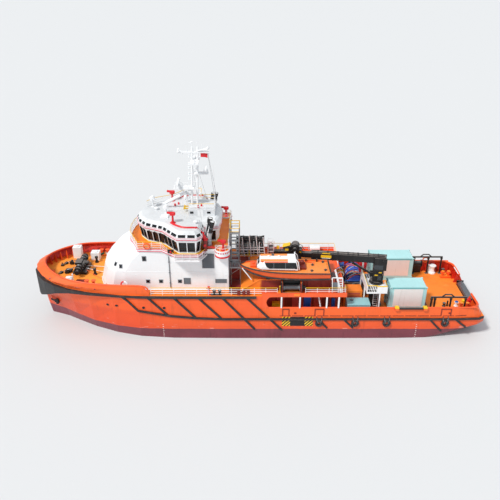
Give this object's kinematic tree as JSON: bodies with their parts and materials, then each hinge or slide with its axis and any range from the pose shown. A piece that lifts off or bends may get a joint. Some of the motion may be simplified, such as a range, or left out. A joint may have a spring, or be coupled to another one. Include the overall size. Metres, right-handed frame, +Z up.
{
  "type": "dive support vessel, 1:2 scale model",
  "caption": "Working ship with forward wheelhouse, side fenders, knuckle crane over a workboat, aft deck loads, mast, monitors, twin screws and rudders, afloat at its waterline.",
  "frame": {"origin": "on the centreline amidships at the waterline", "axes": "+X aft along the keel, +Y to starboard, +Z up"},
  "size_m": [27.475, 6.23, 13.1025],
  "materials": {
    "hull_paint": "gloss orange marine paint, deep red below the boot-top",
    "deck_paint": "matt orange non-slip deck paint",
    "fender_rubber": "matt black fender rubber",
    "house_white": "gloss white paint",
    "glass": "tinted safety glass",
    "black_paint": "semi-gloss black paint",
    "monitor_red": "gloss red paint",
    "container_paint": "pale blue-green frames with off-white panels",
    "maroon_paint": "red-brown house paint",
    "galvanised": "galvanised steel",
    "blue_cover": "blue woven cover and umbilical",
    "bronze": "cast propeller bronze",
    "console": "dark console plastic",
    "steel": "bare worn steel",
    "antifoul": "matt antifouling paint"
  },
  "bodies": {
    "ship": {"hull": "hull_paint", "bow_bulwark": "hull_paint", "bow_fender": "fender_rubber", "side_fender_starboard": "fender_rubber", "side_fender_port": "fender_rubber", "bulwark_starboard": "hull_paint", "bulwark_port": "hull_paint", "upper_deck_aft": "deck_paint", "main_deckhouse": "maroon_paint", "superstructure": "house_white", "bridge_deck": "deck_paint", "wheelhouse": "house_white", "wheelhouse_glass": "glass", "bridge_console": "console", "wheelhouse_roof": "house_white", "mast": "house_white", "exhaust_starboard": "steel", "exhaust_port": "steel", "stair_tower": "galvanised", "bottle_rack": "house_white", "gas_bottles": "black_paint", "workboat_hull": "hull_paint", "workboat_cabin": "house_white", "boat_casing": "deck_paint", "crane_pedestal": "black_paint", "crane_platform": "house_white", "container_near": "container_paint", "container_far": "container_paint", "deck_tank": "container_paint", "machinery_block": "deck_paint", "umbilical_skid": "galvanised", "cargo_rail_starboard": "black_paint", "cargo_rail_port": "black_paint", "capstan": "house_white", "windlass": "black_paint", "anchor_starboard": "black_paint", "anchor_port": "black_paint"},
    "propeller_port": {"propeller_port": "bronze"},
    "propeller_starboard": {"propeller_starboard": "bronze"},
    "rudder_port": {"rudder_port": "antifoul"},
    "rudder_starboard": {"rudder_starboard": "antifoul"},
    "slew_column": {"crane_column": "black_paint"},
    "main_boom": {"crane_boom": "black_paint"},
    "boom_extension": {"crane_extension": "black_paint"},
    "ram_barrel": {"luff_barrel": "black_paint"},
    "ram_rod": {"luff_rod": "steel"},
    "scanner_lower": {"radar_scanner_lower": "house_white"},
    "scanner_upper": {"radar_scanner_upper": "house_white"},
    "monitor_rp": {"monitor_roof_port": "monitor_red"},
    "monitor_rs": {"monitor_roof_starboard": "monitor_red"},
    "monitor_ap": {"monitor_aft_port": "monitor_red"},
    "monitor_as": {"monitor_aft_starboard": "monitor_red"},
    "stern_roller": {"stern_roller": "steel"},
    "side_roller": {"side_roller": "black_paint"},
    "winch_drum": {"launch_winch_drum": "steel"},
    "umbilical_reel": {"umbilical_reel": "blue_cover"},
    "door_house": {"house_door": "house_white"},
    "door_wheelhouse": {"wheelhouse_door": "house_white"}
  },
  "joints": [
    {"name": "propeller_port_spin", "type": "hinge", "parent": "ship", "child": "propeller_port", "pos_m": [10.45, -1.45, -1.25], "axis": [1, 0, 0], "continuous": true},
    {"name": "propeller_starboard_spin", "type": "hinge", "parent": "ship", "child": "propeller_starboard", "pos_m": [10.45, 1.45, -1.25], "axis": [1, 0, 0], "continuous": true},
    {"name": "rudder_port_turn", "type": "hinge", "parent": "ship", "child": "rudder_port", "pos_m": [11.8, -1.45, -0.5], "axis": [0, 0, 1], "range_deg": [-35, 35]},
    {"name": "rudder_starboard_turn", "type": "hinge", "parent": "ship", "child": "rudder_starboard", "pos_m": [11.8, 1.45, -0.5], "axis": [0, 0, 1], "range_deg": [-35, 35]},
    {"name": "crane_slew", "type": "hinge", "parent": "ship", "child": "slew_column", "pos_m": [7.3, -1.3, 3.05], "axis": [0, 0, -1], "range_deg": [0, 180]},
    {"name": "boom_luff", "type": "hinge", "parent": "slew_column", "child": "main_boom", "pos_m": [7.59708, -1.34175, 4.575], "axis": [0.1392, 0.9903, 0], "range_deg": [0, 60]},
    {"name": "boom_telescope", "type": "slide", "parent": "main_boom", "child": "boom_extension", "axis": [-0.9903, 0.1392, 0], "range_m": [0, 1.5]},
    {"name": "ram_tilt", "type": "hinge", "parent": "slew_column", "child": "ram_barrel", "pos_m": [6.95341, -1.25129, 3.55], "axis": [0.1392, 0.9903, 0], "range_deg": [0, 48.18]},
    {"name": "ram_slide", "type": "slide", "parent": "ram_barrel", "child": "ram_rod", "axis": [-0.8629, 0.1213, 0.4906], "range_m": [0, 1.13904]},
    {"name": "scanner_lower_spin", "type": "hinge", "parent": "ship", "child": "scanner_lower", "pos_m": [-4.6, 0, 8.86], "axis": [0, 0, 1], "continuous": true},
    {"name": "scanner_upper_spin", "type": "hinge", "parent": "ship", "child": "scanner_upper", "pos_m": [-2.95, 0, 9.7], "axis": [0, 0, 1], "continuous": true},
    {"name": "monitor_roof_port_pan", "type": "hinge", "parent": "ship", "child": "monitor_rp", "pos_m": [-4.8, -1.7, 7.15], "axis": [0, 0, 1], "range_deg": [-170, 170]},
    {"name": "monitor_roof_starboard_pan", "type": "hinge", "parent": "ship", "child": "monitor_rs", "pos_m": [-5.2, 1.55, 7.15], "axis": [0, 0, 1], "range_deg": [-170, 170]},
    {"name": "monitor_aft_port_pan", "type": "hinge", "parent": "ship", "child": "monitor_ap", "pos_m": [-1.925, -2.375, 5.72], "axis": [0, 0, 1], "range_deg": [-170, 170]},
    {"name": "monitor_aft_starboard_pan", "type": "hinge", "parent": "ship", "child": "monitor_as", "pos_m": [-1.925, 2.375, 5.72], "axis": [0, 0, 1], "range_deg": [-170, 170]},
    {"name": "stern_roller_spin", "type": "hinge", "parent": "ship", "child": "stern_roller", "pos_m": [13.475, 0, 1.35], "axis": [0, 1, 0], "continuous": true},
    {"name": "side_roller_spin", "type": "hinge", "parent": "ship", "child": "side_roller", "pos_m": [9.15, -3, 2.17], "axis": [1, 0, 0], "continuous": true},
    {"name": "winch_drum_spin", "type": "hinge", "parent": "ship", "child": "winch_drum", "pos_m": [2.05, -2.625, 3.4], "axis": [1, 0, 0], "continuous": true},
    {"name": "umbilical_reel_spin", "type": "hinge", "parent": "ship", "child": "umbilical_reel", "pos_m": [6.325, 0.75, 2.15], "axis": [0, 1, 0], "continuous": true},
    {"name": "house_door_swing", "type": "hinge", "parent": "ship", "child": "door_house", "pos_m": [-2.869, -2.269, 3.575], "axis": [0, 0, -1], "range_deg": [0, 100]},
    {"name": "wheelhouse_door_swing", "type": "hinge", "parent": "ship", "child": "door_wheelhouse", "pos_m": [-2.26, 0.219, 6.15], "axis": [0, 0, 1], "range_deg": [0, 85]}
  ],
  "couplings": [
    {"joint": "ram_tilt", "follows": "boom_luff", "ratio": 0.80285},
    {"joint": "ram_slide", "follows": "boom_luff", "m_per_rad": 1.0872}
  ]
}
